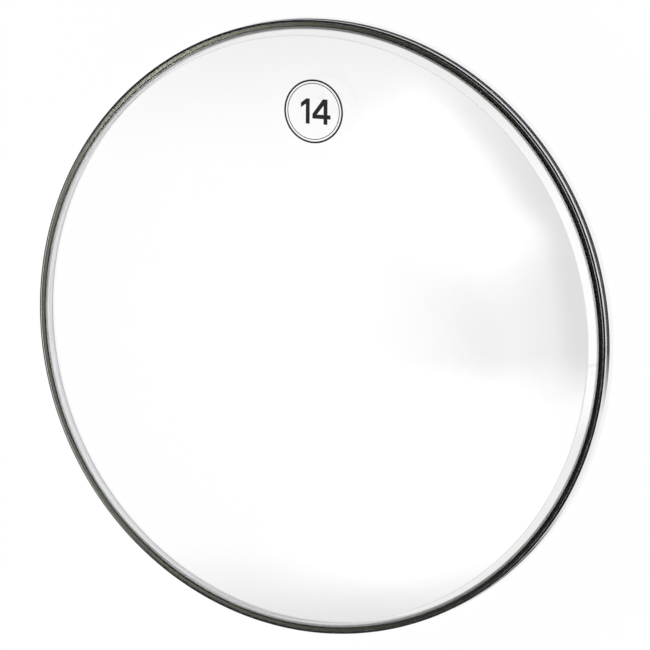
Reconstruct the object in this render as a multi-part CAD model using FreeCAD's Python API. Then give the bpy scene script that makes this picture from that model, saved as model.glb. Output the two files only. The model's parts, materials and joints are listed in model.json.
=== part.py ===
# Clear drum head: one formed plastic film whose edge is cast into a metal channel hoop.
# Millimetres. +Z is the head's axis with the playing face up, and the hoop stands on z = 0.
import FreeCAD
import Part
import math
import os

# Drum that the head fits, and the head's fit over it
SHELL_DIAMETER = 355.6
SHELL_CLEARANCE = 0.7  # between the shell and the hoop, all round
BEARING_EDGE_INSET = 1.7  # the film's crease lies this far inside the shell's outside

# Hoop: an aluminium channel, open at the top
HOOP_HEIGHT = 7.5
WALL_THICKNESS = 1.6
WEB_THICKNESS = 1.0
GROOVE_WIDTH = 2.7
CORNER_RADIUS = 0.8  # outside of the bend between web and wall
FLOOR_RADIUS = 0.4  # inside of that bend
LIP_RADIUS = 1.2  # rounding of each lip's edge away from the groove
LIP_SHARE = 0.75  # most of the wall's thickness that this rounding may take
GROOVE_LIP_RADIUS = 0.2  # rounding of each lip's edge at the groove
GROOVE_LIP_SHARE = 0.2  # most of the wall's thickness that this rounding may take

# Butt joint of the hoop, closed by a flush weld
SEAM_ANGLE = 53.5
SEAM_WIDTH = 1.2

# Film: flat playing area, sloping collar and a skirt that stands in the channel
FILM_THICKNESS = 0.254
COLLAR_HEIGHT = 6.5  # top of the flat film above the hoop's lips
FOOT_RISE = 0.4  # the collar starts this far above the lips
BEND_RADIUS = 1.0  # underside of the bends at the collar's foot and crease
FILM_STANDOFF = 0.5  # skirt to the channel's inner wall
SKIRT_GAP = 0.8  # skirt to the channel's floor

# Row of holes punched in the skirt, which the resin runs through
HOLE_DIAMETER = 3.0
HOLE_PITCH = 12.6  # along the rim, rounded to a whole number of holes

# Cast resin
FILL_DROP = 0.5  # resin's flat surface below the lips

# Derived sizes
shell_radius = SHELL_DIAMETER / 2
bore_radius = shell_radius + SHELL_CLEARANCE
groove_inner = bore_radius + WALL_THICKNESS
groove_outer = groove_inner + GROOVE_WIDTH
rim_radius = groove_outer + WALL_THICKNESS
skirt_inner = groove_inner + FILM_STANDOFF
skirt_outer = skirt_inner + FILM_THICKNESS
skirt_bottom = WEB_THICKNESS + SKIRT_GAP
film_top = HOOP_HEIGHT + COLLAR_HEIGHT
crease_radius = shell_radius - BEARING_EDGE_INSET
fill_height = HOOP_HEIGHT - FILL_DROP
hole_height = (skirt_bottom + fill_height) / 2
hole_count = round(2 * math.pi * skirt_outer / HOLE_PITCH)
lip_radius = min(LIP_RADIUS, LIP_SHARE * WALL_THICKNESS)
groove_lip_radius = min(GROOVE_LIP_RADIUS, GROOVE_LIP_SHARE * WALL_THICKNESS)


def point(r, z):
    """A point of a section, at radius r and height z."""
    return FreeCAD.Vector(r, 0, z)


def rounded(corners):
    """Closed edges through (point, radius) corners, each rounded by a tangent arc of its radius."""
    bends = []
    for i, (corner, radius) in enumerate(corners):
        back = (corners[i - 1][0] - corner).normalize()
        ahead = (corners[(i + 1) % len(corners)][0] - corner).normalize()
        inward = (back + ahead).normalize()
        half = back.getAngle(ahead) / 2
        reach = radius / math.tan(half)
        depth = radius / math.sin(half) - radius
        bends.append((radius, corner + back * reach, corner + inward * depth, corner + ahead * reach))
    edges = []
    for i, (radius, start, middle, end) in enumerate(bends):
        next_start = bends[(i + 1) % len(bends)][1]
        if radius > 0:
            edges.append(Part.Arc(start, middle, end).toShape())
        edges.append(Part.LineSegment(end, next_start).toShape())
    return edges


def turned(edges):
    """The solid that a closed section makes when it is turned once round the axis."""
    face = Part.Face(Part.Wire(Part.__sortEdges__(edges)))
    return face.revolve(FreeCAD.Vector(0, 0, 0), FreeCAD.Vector(0, 0, 1), 360)


def hoop_ring():
    """The channel as a closed ring, before its joint is cut."""
    return turned(rounded([
        (point(bore_radius, 0), CORNER_RADIUS),
        (point(rim_radius, 0), CORNER_RADIUS),
        (point(rim_radius, HOOP_HEIGHT), lip_radius),
        (point(groove_outer, HOOP_HEIGHT), groove_lip_radius),
        (point(groove_outer, WEB_THICKNESS), FLOOR_RADIUS),
        (point(groove_inner, WEB_THICKNESS), FLOOR_RADIUS),
        (point(groove_inner, HOOP_HEIGHT), groove_lip_radius),
        (point(bore_radius, HOOP_HEIGHT), lip_radius),
    ]))


def seam_block():
    """The slice of the rim that the weld fills."""
    rim_width = rim_radius - bore_radius
    block = Part.makeBox(2 * rim_width, SEAM_WIDTH, 2 * HOOP_HEIGHT)
    block.translate(FreeCAD.Vector(bore_radius - rim_width / 2, -SEAM_WIDTH / 2, -HOOP_HEIGHT / 2))
    block.rotate(FreeCAD.Vector(0, 0, 0), FreeCAD.Vector(0, 0, 1), SEAM_ANGLE)
    return block


def film_sheet():
    """The formed film, before its skirt is punched: the outer face first, then the inner one back."""
    slope = (point(crease_radius, film_top) - point(skirt_outer, HOOP_HEIGHT + FOOT_RISE)).normalize()
    lean = math.atan2(-slope.x, slope.z)
    foot_shift = FILM_THICKNESS * math.tan(lean / 2)
    crease_shift = FILM_THICKNESS * math.tan((math.pi / 2 - lean) / 2)
    outer_bend = BEND_RADIUS + FILM_THICKNESS
    return turned(rounded([
        (point(skirt_outer, skirt_bottom), 0),
        (point(skirt_outer, HOOP_HEIGHT + FOOT_RISE), outer_bend),
        (point(crease_radius, film_top), outer_bend),
        (point(0, film_top), 0),
        (point(0, film_top - FILM_THICKNESS), 0),
        (point(crease_radius - crease_shift, film_top - FILM_THICKNESS), BEND_RADIUS),
        (point(skirt_inner, HOOP_HEIGHT + FOOT_RISE - foot_shift), BEND_RADIUS),
        (point(skirt_inner, skirt_bottom), 0),
    ]))


def skirt_punches():
    """Round punches across the skirt, evenly spaced round the head."""
    punches = []
    for i in range(hole_count):
        turn = 2 * math.pi * i / hole_count
        outward = FreeCAD.Vector(math.cos(turn), math.sin(turn), 0)
        start = outward * groove_inner + FreeCAD.Vector(0, 0, hole_height)
        punches.append(Part.makeCylinder(HOLE_DIAMETER / 2, GROOVE_WIDTH, start, outward))
    return punches


def resin_fill():
    """The filled part of the channel, before the film is cut out of it."""
    return turned(rounded([
        (point(groove_inner, fill_height), 0),
        (point(groove_inner, WEB_THICKNESS), FLOOR_RADIUS),
        (point(groove_outer, WEB_THICKNESS), FLOOR_RADIUS),
        (point(groove_outer, fill_height), 0),
    ]))


ring = hoop_ring()
block = seam_block()
film = film_sheet().cut(skirt_punches())
nodes = {
    "flesh_hoop": ring.cut(block),
    "hoop_seam_weld": ring.common(block),
    "drum_film": film,
    "potting_resin": resin_fill().cut(film),
}

os.makedirs("parts", exist_ok=True)
for name, shape in nodes.items():
    shape.exportStep(f"parts/{name}.step")
    print(name, len(shape.Solids), shape.isValid(), round(shape.Volume, 1), shape.BoundBox)
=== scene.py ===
from collections import namedtuple
import json
import math

import bmesh
import bpy
from mathutils import Matrix, Vector


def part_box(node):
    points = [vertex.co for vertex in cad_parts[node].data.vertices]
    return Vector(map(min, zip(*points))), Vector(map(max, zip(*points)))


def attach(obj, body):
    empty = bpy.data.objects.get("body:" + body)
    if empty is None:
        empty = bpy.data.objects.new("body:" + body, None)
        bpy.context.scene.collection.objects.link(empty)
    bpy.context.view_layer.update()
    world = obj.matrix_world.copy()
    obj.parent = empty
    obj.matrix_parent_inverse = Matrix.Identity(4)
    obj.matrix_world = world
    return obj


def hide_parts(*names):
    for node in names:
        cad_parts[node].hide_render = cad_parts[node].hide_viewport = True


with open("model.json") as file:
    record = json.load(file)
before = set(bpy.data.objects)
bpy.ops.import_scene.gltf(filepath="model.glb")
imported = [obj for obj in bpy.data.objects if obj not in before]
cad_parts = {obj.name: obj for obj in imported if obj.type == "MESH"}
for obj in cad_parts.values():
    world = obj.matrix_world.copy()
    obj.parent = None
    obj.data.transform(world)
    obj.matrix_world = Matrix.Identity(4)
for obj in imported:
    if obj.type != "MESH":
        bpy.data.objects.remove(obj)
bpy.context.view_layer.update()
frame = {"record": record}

MM = 0.001

# Sizes that the frame gives
mount_sizes = {mount["name"]: mount["dims"] for mount in frame["record"]["mounts"]}
bore_radius = mount_sizes["shell_bore"]["r_mm"] * MM
rim_radius = mount_sizes["counterhoop_fit"]["r_mm"] * MM
hoop_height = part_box("flesh_hoop")[1].z
web_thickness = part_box("potting_resin")[0].z
fill_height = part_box("potting_resin")[1].z
skirt_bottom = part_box("drum_film")[0].z
film_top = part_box("drum_film")[1].z

# Hoop section
WALL_THICKNESS = 1.6 * MM
CORNER_RADIUS = 0.8 * MM
FLOOR_RADIUS = 0.4 * MM
LIP_RADIUS = 1.2 * MM  # each lip's edge away from the groove
GROOVE_LIP_RADIUS = 0.2 * MM
groove_inner = bore_radius + WALL_THICKNESS
groove_outer = rim_radius - WALL_THICKNESS

# Weld that closes the hoop
SEAM_ANGLE = math.radians(53.5)
SEAM_WIDTH = 1.2 * MM
WELD_HOLLOW = 0.06 * MM
seam_half_angle = SEAM_WIDTH / 2 / rim_radius

# Film section
FILM_THICKNESS = 0.254 * MM
FILM_STANDOFF = 0.5 * MM
FOOT_RISE = 0.4 * MM
BEND_RADIUS = 1.0 * MM
CREASE_RADIUS = 176.1 * MM
skirt_inner = groove_inner + FILM_STANDOFF
skirt_outer = skirt_inner + FILM_THICKNESS
foot_height = hoop_height + FOOT_RISE

# Holes punched in the skirt
HOLE_COUNT = 90
HOLE_RADIUS = 1.5 * MM
hole_height = (skirt_bottom + fill_height) / 2

# Slight waviness of the flat film
WAVE_HEIGHT = 0.03 * MM
WAVE_LENGTH = 90 * MM
WAVE_REACH = 170 * MM
WAVE_FALL = 4  # power with which the waves die out towards their reach
FILM_WAVES = ((1.0, 0.7, 0.0), (0.6, -1.0, 1.3))  # each wave's shares along X and Y, and its phase

# Ripple of the resin's surface
POUR_RIPPLE = 0.005 * MM
POUR_WAVES = ((5, 0.5, 0), (13, 0.3, 1), (37, 0.2, 2))  # each wave's count round the rim, share and phase

# Fineness of the meshes
SECTOR_STEPS = 8  # steps round the rim for each hole of the skirt
ARC_STEPS = 7
WELD_STEPS = 12  # steps along the rim
SURFACE_STEPS = 14  # steps across the resin's surface
EASE = 0.04 * MM  # length of the narrow faces beside each rounding
FLAT_STEP = 6 * MM
FINEST_STEP = 0.75 * MM  # rings of the flat film halve their points below this spacing
MERGE_DISTANCE = 0.001 * MM
SHARP_ANGLE = math.radians(50)
rim_steps = HOLE_COUNT * SECTOR_STEPS

# Printed mark on the film
MARK_CENTRE = Vector((0, 131 * MM))
MARK_RADIUS = 19 * MM
MARK_LINE = 1.1 * MM
MARK_GAP = 1.0 * MM
MARK_HAIRLINE = 0.45 * MM
NUMERAL_HEIGHT = 15 * MM
NUMERAL_STROKE = 2.5 * MM
INK_THICKNESS = 0.03 * MM
INK_LIFT = 0.6 * INK_THICKNESS  # from the film's surface to the middle of the ink
CIRCLE_STEPS = 128

# The materials' patterns are noise, given by its lumps in a metre and its layers of finer lumps
NOISE_LOW = 0.3  # nearly all of it lies between these two
NOISE_HIGH = 0.7

# Film material
FILM_IOR = 1.64
FILM_TINT = (0.925, 0.926, 0.924, 1)  # what one face lets through
FILM_ROUGHNESS = (0.01, 0.05)
FILM_SMEARS = (30, 5.0)
SMEAR_DEPTH = 0.02 * MM
SMEAR_STRENGTH = 0.3

# Resin material
RESIN_TONES = ((0.003, 0.0032, 0.002), (0.010, 0.0105, 0.007))
RESIN_ROUGHNESS = (0.10, 0.24)
RESIN_SHEEN = 0.7  # level of its mirrored light
RESIN_SHEEN_TINT = (0.96, 1.0, 0.8, 1)
RESIN_LUMPS = (700, 4.0)
RESIN_GRAIN = (3500, 2.0)
RESIN_PITS = 0.003 * MM

# Ink material
INK_TONES = ((0.006, 0.006, 0.007), (0.022, 0.022, 0.024))
INK_ROUGHNESS = (0.35, 0.6)
INK_PATCHES = (1500, 4.0)
INK_UNEVENNESS = 0.01 * MM

# Finish of the hoop and of its weld: darkest and lightest tone, lowest and highest roughness, depth of the
# fine lines along the rim
Finish = namedtuple("Finish", "tones roughness line_depth")
HOOP_FINISH = Finish(((0.70, 0.70, 0.72), (0.84, 0.84, 0.86)), (0.04, 0.09), 0.002 * MM)
WELD_FINISH = Finish(((0.45, 0.45, 0.47), (0.66, 0.66, 0.68)), (0.4, 0.6), 0.03 * MM)
METAL_LINES = (25, 3000)  # lumps in a metre along the rim and across it
METAL_STREAKS = (40, 500)
METAL_STAINS = (150, 600)
METAL_LAYERS = 4.0  # layers of finer lumps
DULL_INSIDE = 0.3  # added to the roughness of the inner wall
DULL_TOP = hoop_height - LIP_RADIUS  # above this the inner lip is bright
DULL_FADE = LIP_RADIUS / 2

# Painted shade on the hoop, in its base colour: a dark line along the outer shoulder that stands in for a
# dark reflection, and lighter painted shade on the outer lip and the outer wall's foot
PAINTED_SHADE_COLOUR = (0.012, 0.012, 0.013, 1)
SHOULDER_SHADE_LOW = hoop_height - 0.7 * MM  # the painted dark line along the outer shoulder starts here
SHOULDER_SHADE_REACH = 1.0 * MM  # and goes this far in from the outside
SHOULDER_SHADE_FADE = 0.08 * MM
PAINTED_SHADE_RAGGED = 0.06 * MM
LIP_PAINTED_SHADE = 0.25  # share of the painted shade on the outer lip away from its shoulder
FOOT_PAINTED_SHADE = 0.5  # share of the painted shade at the outer wall's foot, in place of the mirrored shadow beside the rim
FOOT_LOW = 0.8 * MM  # from this height it grows less
FOOT_TOP = 4.4 * MM  # and ends here
LIT_STRETCH_AZIMUTH = math.radians(-21)  # middle of a stretch whose foot has no painted shade and whose floor is painted bright in reflections
LIT_STRETCH_REACH = math.radians(9)  # from that middle to where it starts to fade
LIT_STRETCH_FADE = math.radians(12)

# Camera, measured on the photograph
IMAGE_SIZE = 650
ORIGIN_PIXEL = Vector((322.15, 327.02))
PIXELS_PER_METRE = 1682.2
VIEW_DISTANCE = 4.0
VIEW_TILT = math.radians(26.01)  # from the head's axis
VIEW_AZIMUTH = math.radians(22.26)  # from +X towards +Y
VIEW_ROLL = math.radians(19.88)
SENSOR_WIDTH = 36.0

# Floor and walls of the studio
WHITE = (1, 1, 1, 1)
FLOOR_SIZE = 120.0
FLOOR_COLOUR = (0.92, 0.92, 0.92, 1)
FLOOR_GRAIN = (40, 3.0)
FLOOR_GRAIN_DEPTH = 0.1 * MM
FLOOR_GRAIN_STRENGTH = 0.1
FLOOR_GLOW = 0.9  # share of the floor's white beside the rim that doesn't depend on the lamp; 1 farther away
RIM_GLOW = 0.01  # the same share in the metal's reflections, so that the shadow beside the rim stays dark
RIM_SHADE = 15 * MM  # the shadow beside the rim reaches this far from the middle of the hoop
RIM_SHADE_FADE = 80 * MM
WALL_LEVEL = 0.02  # light from the studio's dark walls and ceiling
HORIZON_TOP = math.sin(math.radians(15))  # the walls look white up to here in reflections
HORIZON_FADE = math.sin(math.radians(18))

# Softboxes above the head, each placed by its mirror image in the flat film: the image's centre and size in
# pixels, its clockwise turn in degrees, its level, and the shares of its sides that fade (left, right, low
# and high)
Softbox = namedtuple("Softbox", "centre size turn level fades")
MAIN_SOFTBOX = Softbox((250, 270), (660, 760), 0, 2.3, (0.09, 0.33, 0.15, 0.38))
LOW_SOFTBOX = Softbox((505, 486), (510, 272), 0, 2.4, (0.33, 0.1, 0.35, 0.24))
TOP_SOFTBOX = Softbox((442, 199), (272, 164), 51, 2.0, (0.3, 0.32, 0.62, 0.26))
DIM_SOFTBOX = Softbox((519, 305), (106, 210), -7.6, 0.9, (0.5, 0.28, 0.2, 0.2))
RESIN_SOFTBOX = Softbox((185, 340), (530, 760), 0, 2.9, (0.09, 0.4, 0.15, 0.27))
HOT_SOFTBOX = Softbox((132, 20), (185, 240), 0, 12.0, (0.1, 0.3, 0.1, 0.1))
HOOP_SOFTBOX = Softbox((35, 360), (270, 480), 0, 2.0, (0.1, 0.3, 0.2, 0.2))
LIP_SOFTBOX = Softbox((960, 0), (680, 800), 0, 1.2, (0.05, 0.2, 0.1, 0.2))
SOFTBOX_DISTANCE = 1.5
SOFTBOX_GAP = 0.05  # between the planes of the softboxes, so that none lies in another

# Softboxes beside the head: degrees from +X where each starts and ends, the lowest and highest elevation in
# degrees, its level, and the shares over which it fades (start, end, low and high)
Strip = namedtuple("Strip", "azimuths elevations level fades")
SIDE_STRIP = Strip((-12, 100), (3, 22), 1.3, (0.02, 0.3, 0.1, 0.1))
NEAR_STRIP = Strip((-85, -11.5), (3, 22), 1.25, (0.3, 0.02, 0.1, 0.1))
FRONT_STRIP = Strip((-10, 75), (20, 76), 0.9, (0.02, 0.2, 0.05, 0.2))
CORNER_STRIP = Strip((-85, -9.5), (20, 76), 0.9, (0.2, 0.02, 0.05, 0.2))
STRIP_DISTANCE = 1.2

# Lamp that lights the floor and the dark pieces, and doesn't show in the metal
FILL_SIZE = 0.15
FILL_DISTANCE = 2.2
FILL_AZIMUTH = math.radians(200)
FILL_ELEVATION = math.radians(75.5)
FILL_POWER = 50.0


def rounded(corners):
    """Points (r, z) of an outline through (r, z, radius) corners, each rounded by a tangent arc."""
    outline = []
    for i, (r, z, radius) in enumerate(corners):
        corner = Vector((r, z))
        if radius == 0:
            outline.append(corner)
            continue
        back = (Vector(corners[i - 1][:2]) - corner).normalized()
        ahead = (Vector(corners[(i + 1) % len(corners)][:2]) - corner).normalized()
        half = back.angle(ahead) / 2
        reach = radius / math.tan(half)
        centre = corner + (back + ahead).normalized() * (radius / math.sin(half))
        spoke = corner + back * reach - centre
        turn = math.copysign(math.pi - 2 * half, back.cross(ahead) * -1)
        outline.append(corner + back * (reach + EASE))
        for step in range(ARC_STEPS + 1):
            outline.append(centre + Matrix.Rotation(turn * step / ARC_STEPS, 2) @ spoke)
        outline.append(corner + ahead * (reach + EASE))
    return outline


def polar(radius, angle, height):
    """A place given by its distance from the head's axis, its angle and its height."""
    return Vector((radius * math.cos(angle), radius * math.sin(angle), height))


def ring(mesh, radius, height, steps=rim_steps):
    """Points evenly spaced on a circle round the axis."""
    return [mesh.verts.new(polar(radius, math.tau * i / steps, height)) for i in range(steps)]


def bridge(mesh, outer, inner):
    """Faces between two closed rings, of which the inner has as many points, half as many or one."""
    count = len(outer)
    if len(inner) == 1:
        for i in range(count):
            mesh.faces.new((outer[i], outer[(i + 1) % count], inner[0]))
    elif len(inner) == count:
        for i in range(count):
            after = (i + 1) % count
            mesh.faces.new((outer[i], outer[after], inner[after], inner[i]))
    else:
        for i, corner in enumerate(inner):
            next_corner = inner[(i + 1) % len(inner)]
            middle = outer[2 * i + 1]
            mesh.faces.new((outer[2 * i], middle, corner))
            mesh.faces.new((middle, next_corner, corner))
            mesh.faces.new((middle, outer[(2 * i + 2) % count], next_corner))


def placed(data, name, node, material):
    """Adds a mesh to the scene as a piece of the head."""
    piece = bpy.data.objects.new(name, data)
    bpy.context.collection.objects.link(piece)
    data.materials.append(material)
    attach(piece, "root")
    if node:
        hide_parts(node)
    return piece


def finished_piece(mesh, name, node, material):
    """Closes a mesh's seams, smooths it and puts it on the frame in the place of its CAD node."""
    bmesh.ops.remove_doubles(mesh, verts=mesh.verts, dist=MERGE_DISTANCE)
    bmesh.ops.recalc_face_normals(mesh, faces=mesh.faces)
    data = bpy.data.meshes.new(name)
    mesh.to_mesh(data)
    mesh.free()
    data.shade_smooth()
    data.set_sharp_from_angle(angle=SHARP_ANGLE)
    return placed(data, name, node, material)


def channel_outline():
    """The hoop's section, all round."""
    return rounded([
        (bore_radius, 0, CORNER_RADIUS),
        (rim_radius, 0, CORNER_RADIUS),
        (rim_radius, hoop_height, LIP_RADIUS),
        (groove_outer, hoop_height, GROOVE_LIP_RADIUS),
        (groove_outer, web_thickness, FLOOR_RADIUS),
        (groove_inner, web_thickness, FLOOR_RADIUS),
        (groove_inner, hoop_height, GROOVE_LIP_RADIUS),
        (bore_radius, hoop_height, LIP_RADIUS),
    ])


def swept_channel(mesh, start, end, steps, hollow):
    """The channel between two angles with closed ends, its skin sunk by hollow halfway along."""
    outline = channel_outline()
    middle = sum(outline, Vector((0, 0))) / len(outline)
    columns = []
    for i in range(steps + 1):
        share = i / steps
        sink = hollow * math.sin(math.pi * share) ** 2
        angle = start + (end - start) * share
        sunk = [place + (middle - place).normalized() * sink for place in outline]
        columns.append([mesh.verts.new(polar(place.x, angle, place.y)) for place in sunk])
    for first, second in zip(columns, columns[1:]):
        bridge(mesh, first, second)
    mesh.faces.new(columns[0])
    mesh.faces.new(columns[-1])


def flesh_hoop(material):
    """The rolled channel, from one side of its weld round to the other."""
    mesh = bmesh.new()
    start = SEAM_ANGLE + seam_half_angle
    end = SEAM_ANGLE - seam_half_angle + math.tau
    swept_channel(mesh, start, end, rim_steps, 0)
    return finished_piece(mesh, "hoop_channel", "flesh_hoop", material)


def hoop_weld(material):
    """The weld bead, ground a little below the hoop's skin."""
    mesh = bmesh.new()
    start = SEAM_ANGLE - seam_half_angle
    end = SEAM_ANGLE + seam_half_angle
    swept_channel(mesh, start, end, WELD_STEPS, WELD_HOLLOW)
    return finished_piece(mesh, "hoop_weld", "hoop_seam_weld", material)


def skirt_patch(mesh, radius, middle):
    """One sector of a skirt face round its hole; gives the hole's rim."""
    half_width = math.pi / HOLE_COUNT * radius
    half_height = hole_height - skirt_bottom
    span = [2 * i / SECTOR_STEPS - 1 for i in range(SECTOR_STEPS)]
    edge = [(x, -1) for x in span] + [(1, y) for y in span]
    edge += [(-x, 1) for x in span] + [(-1, -y) for y in span]
    first_turn = -3 / 8  # the edge starts at its lower left corner
    loops = []
    for share in (0, 0.5, 1):
        loop = []
        for i, (x, y) in enumerate(edge):
            turn = math.tau * (i / len(edge) + first_turn)
            frame_place = Vector((x * half_width, y * half_height))
            hole_place = HOLE_RADIUS * Vector((math.cos(turn), math.sin(turn)))
            place = frame_place.lerp(hole_place, share)
            loop.append(mesh.verts.new(polar(radius, middle + place.x / radius, hole_height + place.y)))
        loops.append(loop)
    bridge(mesh, loops[0], loops[1])
    bridge(mesh, loops[1], loops[2])
    return loops[-1]


def punched_skirt(mesh):
    """Both faces of the skirt, the walls of its holes and its lower edge."""
    for i in range(HOLE_COUNT):
        middle = math.tau * i / HOLE_COUNT
        bridge(mesh, skirt_patch(mesh, skirt_inner, middle), skirt_patch(mesh, skirt_outer, middle))
    bridge(mesh, ring(mesh, skirt_inner, skirt_bottom), ring(mesh, skirt_outer, skirt_bottom))


def film_wave(x, y):
    """How far the flat film rises at a place; it dies out towards the crease."""
    reach = math.hypot(x, y) / WAVE_REACH
    if reach >= 1:
        return 0.0
    turn = math.tau / WAVE_LENGTH
    waves = [math.sin(turn * (x * along_x + y * along_y) + phase) for along_x, along_y, phase in FILM_WAVES]
    return WAVE_HEIGHT * (1 - reach ** WAVE_FALL) * sum(waves) / len(waves)


def film_face(mesh, skirt_radius, foot, crease, height, bend):
    """One face of the film, from the resin up the collar and over the flat area to the centre."""
    path = rounded([
        (skirt_radius, fill_height, 0),
        (skirt_radius, foot, bend),
        (crease, height, bend),
        (0, height, 0),
    ])
    steps = rim_steps
    last = None
    flat_start = path[-2].x
    flat_count = math.ceil(flat_start / FLAT_STEP)
    flat = [Vector((flat_start * (1 - i / flat_count), height)) for i in range(1, flat_count)]
    for place in path[:-1] + flat:
        while steps > HOLE_COUNT and math.tau * place.x / steps < FINEST_STEP:
            steps //= 2
        points = ring(mesh, place.x, place.y, steps)
        if last:
            bridge(mesh, last, points)
        last = points
    bridge(mesh, last, [mesh.verts.new((0, 0, height))])


def drum_film(material):
    """The formed film: flat playing area, sloping collar and punched skirt."""
    lean = math.atan2(skirt_outer - CREASE_RADIUS, film_top - foot_height)
    foot_shift = FILM_THICKNESS * math.tan(lean / 2)
    crease_shift = FILM_THICKNESS * math.tan((math.pi / 2 - lean) / 2)
    mesh = bmesh.new()
    punched_skirt(mesh)
    film_face(mesh, skirt_outer, foot_height, CREASE_RADIUS, film_top, BEND_RADIUS + FILM_THICKNESS)
    film_face(mesh, skirt_inner, foot_height - foot_shift, CREASE_RADIUS - crease_shift,
              film_top - FILM_THICKNESS, BEND_RADIUS)
    for vertex in mesh.verts:
        vertex.co.z += film_wave(vertex.co.x, vertex.co.y)
    return finished_piece(mesh, "film", "drum_film", material)


def pour_height(angle):
    """How the resin's surface rises and falls round the rim, as poured."""
    waves = [share * math.sin(count * angle + phase) for count, share, phase in POUR_WAVES]
    return POUR_RIPPLE * sum(waves)


def potting_resin(material):
    """The cast ring: the channel's rippled fill, and the plugs through the skirt's holes."""
    mesh = bmesh.new()
    punched_skirt(mesh)
    floor = rounded([
        (groove_inner, fill_height, 0),
        (groove_inner, web_thickness, FLOOR_RADIUS),
        (groove_outer, web_thickness, FLOOR_RADIUS),
        (groove_outer, fill_height, 0),
    ])
    width = groove_outer - skirt_outer
    shares = [i / SURFACE_STEPS for i in range(1, SURFACE_STEPS)]
    surface = [Vector((groove_outer - width * share, fill_height)) for share in shares]
    path = [Vector((skirt_inner, fill_height))] + floor + surface + [Vector((skirt_outer, fill_height))]
    rings = [ring(mesh, place.x, place.y) for place in path]
    for points in rings[-1 - len(surface):-1]:
        for i, vertex in enumerate(points):
            share = (vertex.co.xy.length - skirt_outer) / width
            vertex.co.z += pour_height(math.tau * i / rim_steps) * math.sin(math.pi * share)
    for first, second in zip(rings, rings[1:]):
        bridge(mesh, first, second)
    return finished_piece(mesh, "resin_ring", "potting_resin", material)


def circle(radius):
    """Points of a circle round the mark's centre."""
    turns = [math.tau * i / CIRCLE_STEPS for i in range(CIRCLE_STEPS)]
    return [(radius * math.cos(turn), radius * math.sin(turn)) for turn in turns]


def numeral_outlines():
    """The number fourteen, the head's size in inches, at the mark's centre; drawn in stroke widths."""
    top = NUMERAL_HEIGHT / NUMERAL_STROKE
    one = [(0, 0), (1, 0), (1, top), (0.1, top), (-1.3, top - 1.1), (-1.3, top - 2.2), (0, top - 1.3)]
    bar = 1.3
    stem = 2.9
    tip = stem + 1.8
    four = [
        (stem, 0), (stem + 1, 0), (stem + 1, bar), (tip, bar), (tip, bar + 1),
        (stem + 1, bar + 1), (stem + 1, top), (stem - 0.2, top), (0, bar + 1.1), (0, bar), (stem, bar),
    ]
    eye = [(1.15, bar + 1), (stem, bar + 1), (stem, top - 1.5)]
    outlines = []
    for outline, shift in [(one, -2.0), (four, -0.3), (eye, -0.3)]:
        moved = [(x + shift, y - top / 2) for x, y in outline]
        outlines.append([(x * NUMERAL_STROKE, y * NUMERAL_STROKE) for x, y in moved])
    return outlines


def size_mark(material):
    """The ink on the film: a plain ring with the head's size in it, following the film's surface."""
    inner_ring = MARK_RADIUS - MARK_LINE - MARK_GAP
    radii = [MARK_RADIUS, MARK_RADIUS - MARK_LINE, inner_ring, inner_ring - MARK_HAIRLINE]
    curve = bpy.data.curves.new("mark_outline", "CURVE")
    curve.dimensions = "2D"
    curve.fill_mode = "BOTH"
    curve.extrude = INK_THICKNESS / 2
    for outline in [circle(radius) for radius in radii] + numeral_outlines():
        spline = curve.splines.new("POLY")
        spline.points.add(len(outline) - 1)
        spline.use_cyclic_u = True
        for point, (x, y) in zip(spline.points, outline):
            point.co = (x, y, 0, 1)
    carrier = bpy.data.objects.new("mark_outline", curve)
    data = bpy.data.meshes.new_from_object(carrier)
    bpy.data.objects.remove(carrier)
    bpy.data.curves.remove(curve)
    for vertex in data.vertices:
        vertex.co.xy += MARK_CENTRE
        vertex.co.z += film_top + film_wave(vertex.co.x, vertex.co.y) + INK_LIFT
    data.materials.clear()
    return placed(data, "size_mark", None, material)


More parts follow.
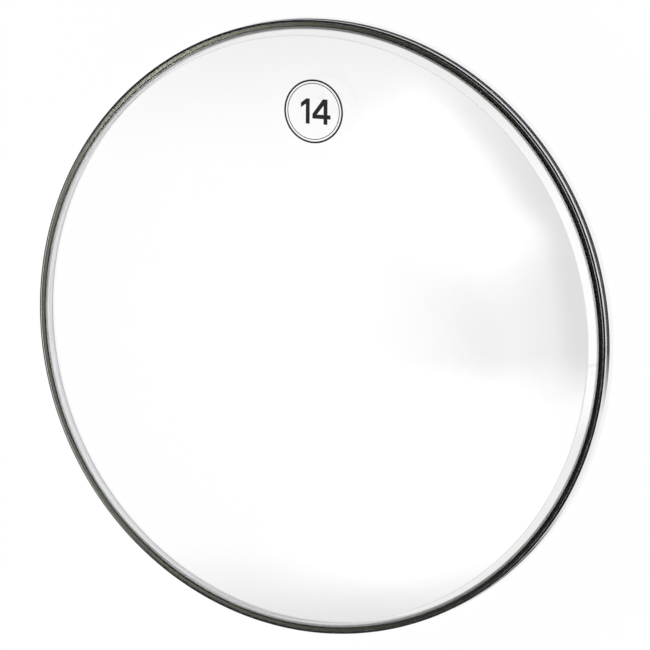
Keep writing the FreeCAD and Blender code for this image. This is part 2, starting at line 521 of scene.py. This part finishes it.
class Shader:
    """The nodes of a material or of the world, with short calls to add and wire them."""

    def __init__(self, owner, output_kind="ShaderNodeOutputMaterial"):
        self.owner = owner
        owner.use_nodes = True
        self.tree = owner.node_tree
        self.tree.nodes.clear()
        self.output = self.add(output_kind)

    def add(self, kind, inputs=None, **settings):
        """A new node with these settings, and each input wired to a socket or set to a value."""
        node = self.tree.nodes.new(kind)
        for name, value in settings.items():
            setattr(node, name, value)
        for name, value in (inputs or {}).items():
            self.set(node.inputs[name], value)
        return node

    def set(self, socket, value):
        """Wires a socket to another, or gives it a value."""
        if isinstance(value, bpy.types.NodeSocket):
            self.tree.links.new(value, socket)
        else:
            socket.default_value = value

    def noise(self, place, scale, layers):
        """Noise between 0 and 1 at a place, in lumps of about 1 / scale metres."""
        inputs = {"Vector": place, "Scale": scale, "Detail": layers}
        return self.add("ShaderNodeTexNoise", inputs).outputs["Fac"]

    def spread(self, value, low, high, start=NOISE_LOW, end=NOISE_HIGH, **settings):
        """A value's range from start to end stretched to run from low to high."""
        limits = {"Value": value, "From Min": start, "From Max": end, "To Min": low, "To Max": high}
        return self.add("ShaderNodeMapRange", limits, **settings).outputs["Result"]

    def tones(self, noise, dark, light):
        """A colour between two tones, from noise."""
        ramp = self.add("ShaderNodeValToRGB", {"Fac": noise})
        low, high = ramp.color_ramp.elements
        low.position, low.color = NOISE_LOW, (*dark, 1)
        high.position, high.color = NOISE_HIGH, (*light, 1)
        return ramp.outputs["Color"]

    def blend(self, share, first, second):
        """A colour that goes from the first to the second as the share goes from 0 to 1."""
        node = self.add("ShaderNodeMix", data_type="RGBA")
        sockets = {socket.identifier: socket for socket in node.inputs}
        self.set(sockets["Factor_Float"], share)
        self.set(sockets["A_Color"], first)
        self.set(sockets["B_Color"], second)
        return next(socket for socket in node.outputs if socket.identifier == "Result_Color")

    def mix(self, share, first, second):
        """A shader that goes from the first to the second as the share goes from 0 to 1."""
        return self.add("ShaderNodeMixShader", {0: share, 1: first, 2: second}).outputs["Shader"]

    def math(self, operation, first, second=0.0):
        """One sum of one or two numbers."""
        node = self.add("ShaderNodeMath", operation=operation)
        self.set(node.inputs[0], first)
        self.set(node.inputs[1], second)
        return node.outputs["Value"]

    def place(self):
        """The place on the piece, in metres."""
        return self.add("ShaderNodeTexCoord").outputs["Object"]

    def rim_parts(self):
        """The length along the rim from the weld's far side, the distance from the axis and the height."""
        inputs = {"Vector": self.place(), "Angle": math.pi - SEAM_ANGLE}
        turned = self.add("ShaderNodeVectorRotate", inputs, rotation_type="Z_AXIS").outputs["Vector"]
        parts = self.add("ShaderNodeSeparateXYZ", {"Vector": turned}).outputs
        angle = self.math("ARCTAN2", parts["Y"], parts["X"])
        flat = self.add("ShaderNodeCombineXYZ", {"X": parts["X"], "Y": parts["Y"]}).outputs["Vector"]
        radius = self.add("ShaderNodeVectorMath", {0: flat}, operation="LENGTH").outputs["Value"]
        return self.math("MULTIPLY", angle, rim_radius), radius, parts["Z"]

    def rim_noise(self, parts, scales):
        """Noise between 0 and 1 in lumps that are stretched along the rim."""
        length, radius, height = parts
        along, across = scales
        place = self.add("ShaderNodeCombineXYZ", {
            "X": self.math("MULTIPLY", length, along),
            "Y": self.math("MULTIPLY", radius, across),
            "Z": self.math("MULTIPLY", height, across),
        })
        return self.noise(place.outputs["Vector"], 1.0, METAL_LAYERS)

    def lit_stretch_share(self, parts):
        """1 beside the stretch of rim with no painted shade at its foot and painted light on the floor in
        reflections, and 0 away from it.
        """
        middle = rim_radius * (LIT_STRETCH_AZIMUTH + math.pi - SEAM_ANGLE)
        away = self.math("ABSOLUTE", self.math("SUBTRACT", parts[0], middle))
        start = rim_radius * LIT_STRETCH_REACH
        return self.spread(away, 1.0, 0.0, start, start + rim_radius * LIT_STRETCH_FADE)

    def bump(self, height, distance, strength=1.0):
        """A surface normal tilted by a height map."""
        inputs = {"Height": height, "Distance": distance, "Strength": strength}
        return self.add("ShaderNodeBump", inputs).outputs["Normal"]

    def show(self, surface):
        """Makes a shader the owner's surface, and gives the owner."""
        self.set(self.output.inputs["Surface"], surface)
        return self.owner


def new_material(name):
    """The empty nodes of a new material."""
    return Shader(bpy.data.materials.new(name))


def painted_shade(shader, parts):
    """Shares of painted shade on the hoop: a dark line along the outer shoulder that stands in for a dark
    reflection, and lighter shade on the outer lip and the outer wall's foot; both end unevenly.
    """
    _, radius, height = parts
    border = shader.spread(shader.rim_noise(parts, METAL_STAINS), -PAINTED_SHADE_RAGGED, PAINTED_SHADE_RAGGED)
    level = shader.math("ADD", height, border)
    # the painted dark line along the outer shoulder, in place of a dark reflection
    low = shader.spread(level, 0.0, 1.0, SHOULDER_SHADE_LOW, SHOULDER_SHADE_LOW + SHOULDER_SHADE_FADE)
    inner = rim_radius - SHOULDER_SHADE_REACH
    across = shader.math("ADD", radius, border)
    outside = shader.spread(across, 0.0, 1.0, inner, inner + SHOULDER_SHADE_FADE)
    lip = shader.math("MULTIPLY", low, LIP_PAINTED_SHADE)
    shaded_stretch = shader.math("SUBTRACT", 1.0, shader.lit_stretch_share(parts))
    # painted shade at the outer wall's foot, left off beside the stretch where the floor is painted bright
    foot = shader.math("MULTIPLY", shader.spread(level, FOOT_PAINTED_SHADE, 0.0, FOOT_LOW, FOOT_TOP), shaded_stretch)
    outer = shader.spread(radius, 0.0, 1.0, groove_inner, groove_outer)
    lip_and_foot_shade = shader.math("MULTIPLY", shader.math("MAXIMUM", lip, foot), outer)
    return shader.math("MULTIPLY", low, outside), lip_and_foot_shade


def aluminium(name, finish):
    """Bare aluminium with fine lines and faint streaks along the rim, bright outside and dull inside, with
    painted shade along its outer shoulder, outer lip and foot.
    """
    shader = new_material(name)
    parts = shader.rim_parts()
    lines = shader.rim_noise(parts, METAL_LINES)
    streaks = shader.rim_noise(parts, METAL_STREAKS)
    inside = shader.spread(parts[1], DULL_INSIDE, 0.0, groove_inner, groove_outer)
    below_lip = shader.spread(parts[2], 1.0, 0.0, DULL_TOP - DULL_FADE, DULL_TOP)
    dullness = shader.math("MULTIPLY", inside, below_lip)
    clean = shader.tones(streaks, *finish.tones)
    shoulder, lip_and_foot_shade = painted_shade(shader, parts)
    surface = shader.add("ShaderNodeBsdfPrincipled", {
        # painted shade and a painted dark reflection darken the base colour along the outer shoulder, the
        # outer lip and the foot
        "Base Color": shader.blend(shader.math("MAXIMUM", shoulder, lip_and_foot_shade), clean, PAINTED_SHADE_COLOUR),
        "Metallic": shader.math("SUBTRACT", 1.0, shoulder),
        "Specular IOR Level": 0.0,
        "Roughness": shader.math("ADD", shader.spread(lines, *finish.roughness), dullness),
        "Normal": shader.bump(lines, finish.line_depth),
    })
    return shader.show(surface.outputs["BSDF"])


def resin():
    """Dark cast resin with a satin, slightly pitted surface."""
    shader = new_material("dark_resin_look")
    lumps = shader.noise(shader.place(), *RESIN_LUMPS)
    grain = shader.noise(shader.place(), *RESIN_GRAIN)
    surface = shader.add("ShaderNodeBsdfPrincipled", {
        "Base Color": shader.tones(lumps, *RESIN_TONES),
        "Roughness": shader.spread(lumps, *RESIN_ROUGHNESS),
        "Specular IOR Level": RESIN_SHEEN,
        "Specular Tint": RESIN_SHEEN_TINT,
        "Normal": shader.bump(shader.math("ADD", lumps, grain), RESIN_PITS),
    })
    return shader.show(surface.outputs["BSDF"])


def clear_film():
    """Clear glossy film with faint smears; each face mirrors a little, more at a glancing angle."""
    shader = new_material("clear_film_look")
    smears = shader.noise(shader.place(), *FILM_SMEARS)
    back_face = shader.add("ShaderNodeNewGeometry").outputs["Backfacing"]
    bend = shader.spread(back_face, FILM_IOR, 1 / FILM_IOR, 0.0, 1.0)
    share = shader.add("ShaderNodeFresnel", {"IOR": bend}).outputs["Fac"]
    mirror = shader.add("ShaderNodeBsdfGlossy", {
        "Color": WHITE,
        "Roughness": shader.spread(smears, *FILM_ROUGHNESS),
        "Normal": shader.bump(smears, SMEAR_DEPTH, SMEAR_STRENGTH),
    })
    through = shader.add("ShaderNodeBsdfTransparent", {"Color": FILM_TINT})
    return shader.show(shader.mix(share, through.outputs["BSDF"], mirror.outputs["BSDF"]))


def ink():
    """Black printing ink, a little uneven."""
    shader = new_material("mark_ink_look")
    patches = shader.noise(shader.place(), *INK_PATCHES)
    surface = shader.add("ShaderNodeBsdfPrincipled", {
        "Base Color": shader.tones(patches, *INK_TONES),
        "Roughness": shader.spread(patches, *INK_ROUGHNESS),
        "Normal": shader.bump(patches, INK_UNEVENNESS),
    })
    return shader.show(surface.outputs["BSDF"])


def view_axes():
    """The camera's right, up and back directions."""
    flat = math.sin(VIEW_TILT)
    back = Vector((flat * math.cos(VIEW_AZIMUTH), flat * math.sin(VIEW_AZIMUTH), math.cos(VIEW_TILT)))
    upright = (Vector((0, 0, 1)) - back * back.z).normalized()
    across = upright.cross(back)
    right = -math.sin(VIEW_ROLL) * across - math.cos(VIEW_ROLL) * upright
    return right, back.cross(right), back


def view_point(pixel_x, pixel_y, distance):
    """The place seen at a pixel, at a distance from the camera along its axis; 0 is the camera itself."""
    right, up, back = view_axes()
    aside = (IMAGE_SIZE / 2 - ORIGIN_PIXEL.x) / PIXELS_PER_METRE
    above = (ORIGIN_PIXEL.y - IMAGE_SIZE / 2) / PIXELS_PER_METRE
    camera = back * VIEW_DISTANCE + right * aside + up * above
    share = distance / VIEW_DISTANCE / PIXELS_PER_METRE
    across = right * (pixel_x - IMAGE_SIZE / 2) * share
    upward = up * (IMAGE_SIZE / 2 - pixel_y) * share
    return camera - back * distance + across + upward


def mirrored_point(pixel_x, pixel_y, distance):
    """The place that the flat film mirrors at a pixel, at a distance from the head."""
    place = view_point(pixel_x, pixel_y, VIEW_DISTANCE + distance)
    place.z = 2 * film_top - place.z
    return place


def white_floor():
    """A white floor with the head's shadow on it, deepest where the metal mirrors it beside the rim, and
    painted light on it in the metal's reflections beside one stretch of the rim.
    """
    shader = new_material("floor_white")
    parts = shader.rim_parts()
    hoop_middle = (bore_radius + rim_radius) / 2
    away = shader.math("ABSOLUTE", shader.math("SUBTRACT", parts[1], hoop_middle))
    direct = shader.spread(away, FLOOR_GLOW, 1.0, RIM_SHADE, RIM_SHADE + RIM_SHADE_FADE)
    mirrored = shader.spread(away, RIM_GLOW, 1.0, RIM_SHADE, RIM_SHADE + RIM_SHADE_FADE)
    # painted light: beside one stretch of the rim the floor glows white in the metal's reflections right up
    # to the rim, over its shadow
    bright = shader.math("MAXIMUM", mirrored, shader.lit_stretch_share(parts))
    rays = shader.add("ShaderNodeLightPath").outputs
    seen = shader.math("MAXIMUM", rays["Is Camera Ray"], rays["Is Transmission Ray"])
    seen_share = shader.math("MULTIPLY", seen, direct)
    mirrored_share = shader.math("MULTIPLY", rays["Is Glossy Ray"], bright)
    share = shader.math("MAXIMUM", seen_share, mirrored_share)
    grain = shader.noise(shader.place(), *FLOOR_GRAIN)
    lit = shader.add("ShaderNodeBsdfDiffuse", {
        "Color": FLOOR_COLOUR,
        "Normal": shader.bump(grain, FLOOR_GRAIN_DEPTH, FLOOR_GRAIN_STRENGTH),
    })
    glow = shader.add("ShaderNodeEmission", {"Color": WHITE, "Strength": 1.0})
    return shader.show(shader.mix(share, lit.outputs["BSDF"], glow.outputs["Emission"]))


def stage_quad(name, corners, material):
    """A flat four-cornered thing of the studio, with its corners' shares of its sides as coordinates."""
    data = bpy.data.meshes.new(name)
    data.from_pydata(corners, [], [(0, 1, 2, 3)])
    layer = data.uv_layers.new(name="sides")
    for loop, share in zip(layer.data, [(0, 0), (1, 0), (1, 1), (0, 1)]):
        loop.uv = share
    data.materials.append(material)
    quad = bpy.data.objects.new(name, data)
    bpy.context.collection.objects.link(quad)
    return quad


def add_floor():
    """A large plane under the head."""
    half = FLOOR_SIZE / 2
    corners = [(-half, -half, 0), (half, -half, 0), (half, half, 0), (-half, half, 0)]
    stage_quad("floor", corners, white_floor())


def softbox_glow(name, level, fades):
    """A soft-edged sheet of light that lets other light through."""
    shader = new_material(name)
    uv = shader.add("ShaderNodeTexCoord").outputs["UV"]
    sides = shader.add("ShaderNodeSeparateXYZ", {"Vector": uv}).outputs
    left, right, low, high = fades
    edges = [("X", 0.0, left), ("X", 1.0, 1 - right), ("Y", 0.0, low), ("Y", 1.0, 1 - high)]
    strength = level
    for axis, start, end in edges:
        fade = shader.spread(sides[axis], 0.0, 1.0, start, end, interpolation_type="SMOOTHSTEP")
        strength = shader.math("MULTIPLY", fade, strength)
    glow = shader.add("ShaderNodeEmission", {"Strength": strength})
    clear = shader.add("ShaderNodeBsdfTransparent")
    both = shader.add("ShaderNodeAddShader", {0: glow.outputs["Emission"], 1: clear.outputs["BSDF"]})
    return shader.show(both.outputs["Shader"])


def add_softbox(name, corners, level, fades, receivers):
    """A sheet of light that shows only in the reflections of the pieces that it is turned on for."""
    panel = stage_quad(name, corners, softbox_glow(name, level, fades))
    panel.visible_camera = False
    panel.visible_diffuse = False
    group = bpy.data.collections.new(name + "_receivers")
    for piece in receivers:
        group.objects.link(piece)
    panel.light_linking.receiver_collection = group


def softbox_above(name, order, softbox, receivers):
    """A softbox placed by its mirror image in the flat film, on a plane of its own."""
    distance = SOFTBOX_DISTANCE + order * SOFTBOX_GAP
    turn = Matrix.Rotation(math.radians(softbox.turn), 2)
    width, height = softbox.size
    corners = []
    for across, down in [(-0.5, 0.5), (0.5, 0.5), (0.5, -0.5), (-0.5, -0.5)]:
        pixel = Vector(softbox.centre) + turn @ Vector((across * width, down * height))
        corners.append(mirrored_point(pixel.x, pixel.y, distance))
    add_softbox(name, corners, softbox.level, softbox.fades, receivers)


def softbox_beside(name, strip, receivers):
    """An upright softbox beside the head."""
    start, end = [math.radians(azimuth) for azimuth in strip.azimuths]
    low, high = [STRIP_DISTANCE * math.tan(math.radians(elevation)) for elevation in strip.elevations]
    places = [(start, low), (end, low), (end, high), (start, high)]
    corners = [polar(STRIP_DISTANCE, angle, height) for angle, height in places]
    add_softbox(name, corners, strip.level, strip.fades, receivers)


def add_softboxes(film, mark, casting, metal):
    """All the softboxes, each for the pieces that mirror it."""
    above = [
        ("main_softbox", MAIN_SOFTBOX, [film, mark]),
        ("low_softbox", LOW_SOFTBOX, [film]),
        ("top_softbox", TOP_SOFTBOX, [film]),
        ("dim_softbox", DIM_SOFTBOX, [film]),
        ("resin_softbox", RESIN_SOFTBOX, [casting]),
        ("hot_softbox", HOT_SOFTBOX, [casting]),
        ("hoop_softbox", HOOP_SOFTBOX, metal),
        ("lip_softbox", LIP_SOFTBOX, metal),
    ]
    for order, (name, softbox, receivers) in enumerate(above):
        softbox_above(name, order, softbox, receivers)
    beside = [
        ("side_strip", SIDE_STRIP, [film]),
        ("near_strip", NEAR_STRIP, [film]),
        ("front_strip", FRONT_STRIP, metal),
        ("corner_strip", CORNER_STRIP, metal),
    ]
    for name, strip, receivers in beside:
        softbox_beside(name, strip, receivers)


def add_world():
    """The studio round the head: dark, with a low white horizon in reflections."""
    shader = Shader(bpy.data.worlds.new("studio"), "ShaderNodeOutputWorld")
    direction = shader.add("ShaderNodeTexCoord").outputs["Generated"]
    height = shader.add("ShaderNodeSeparateXYZ", {"Vector": direction}).outputs["Z"]
    rays = shader.add("ShaderNodeLightPath").outputs
    horizon = shader.spread(height, 1.0, 0.0, HORIZON_TOP, HORIZON_FADE)
    mirrored = shader.math("MULTIPLY", horizon, rays["Is Glossy Ray"])
    seen = shader.math("MAXIMUM", mirrored, rays["Is Camera Ray"])
    strength = shader.math("MAXIMUM", seen, WALL_LEVEL)
    light = shader.add("ShaderNodeBackground", {"Color": WHITE, "Strength": strength})
    bpy.context.scene.world = shader.show(light.outputs["Background"])


def add_fill_lamp():
    """A lamp high on the left, which lights the floor and the dark pieces."""
    data = bpy.data.lights.new("fill", "AREA")
    data.shape = "DISK"
    data.size = FILL_SIZE
    data.energy = FILL_POWER
    lamp = bpy.data.objects.new("fill", data)
    bpy.context.collection.objects.link(lamp)
    away = polar(math.cos(FILL_ELEVATION), FILL_AZIMUTH, math.sin(FILL_ELEVATION))
    lamp.location = away * FILL_DISTANCE
    lamp.rotation_euler = away.to_track_quat("Z", "Y").to_euler()
    lamp.visible_glossy = False
    lamp.visible_camera = False


def add_camera():
    """The camera where the photograph was taken from."""
    data = bpy.data.cameras.new("camera")
    data.sensor_width = SENSOR_WIDTH
    data.lens = SENSOR_WIDTH * PIXELS_PER_METRE * VIEW_DISTANCE / IMAGE_SIZE
    camera = bpy.data.objects.new("camera", data)
    bpy.context.collection.objects.link(camera)
    turn = Matrix(view_axes()).transposed()
    camera.matrix_world = Matrix.Translation(view_point(0, 0, 0)) @ turn.to_4x4()
    bpy.context.scene.camera = camera


hoop = flesh_hoop(aluminium("hoop_aluminium_look", HOOP_FINISH))
weld = hoop_weld(aluminium("weld_aluminium_look", WELD_FINISH))
casting = potting_resin(resin())
film = drum_film(clear_film())
mark = size_mark(ink())
add_floor()
add_world()
add_softboxes(film, mark, casting, [hoop, weld])
add_fill_lamp()
add_camera()

bpy.context.scene.view_settings.view_transform = "Standard"
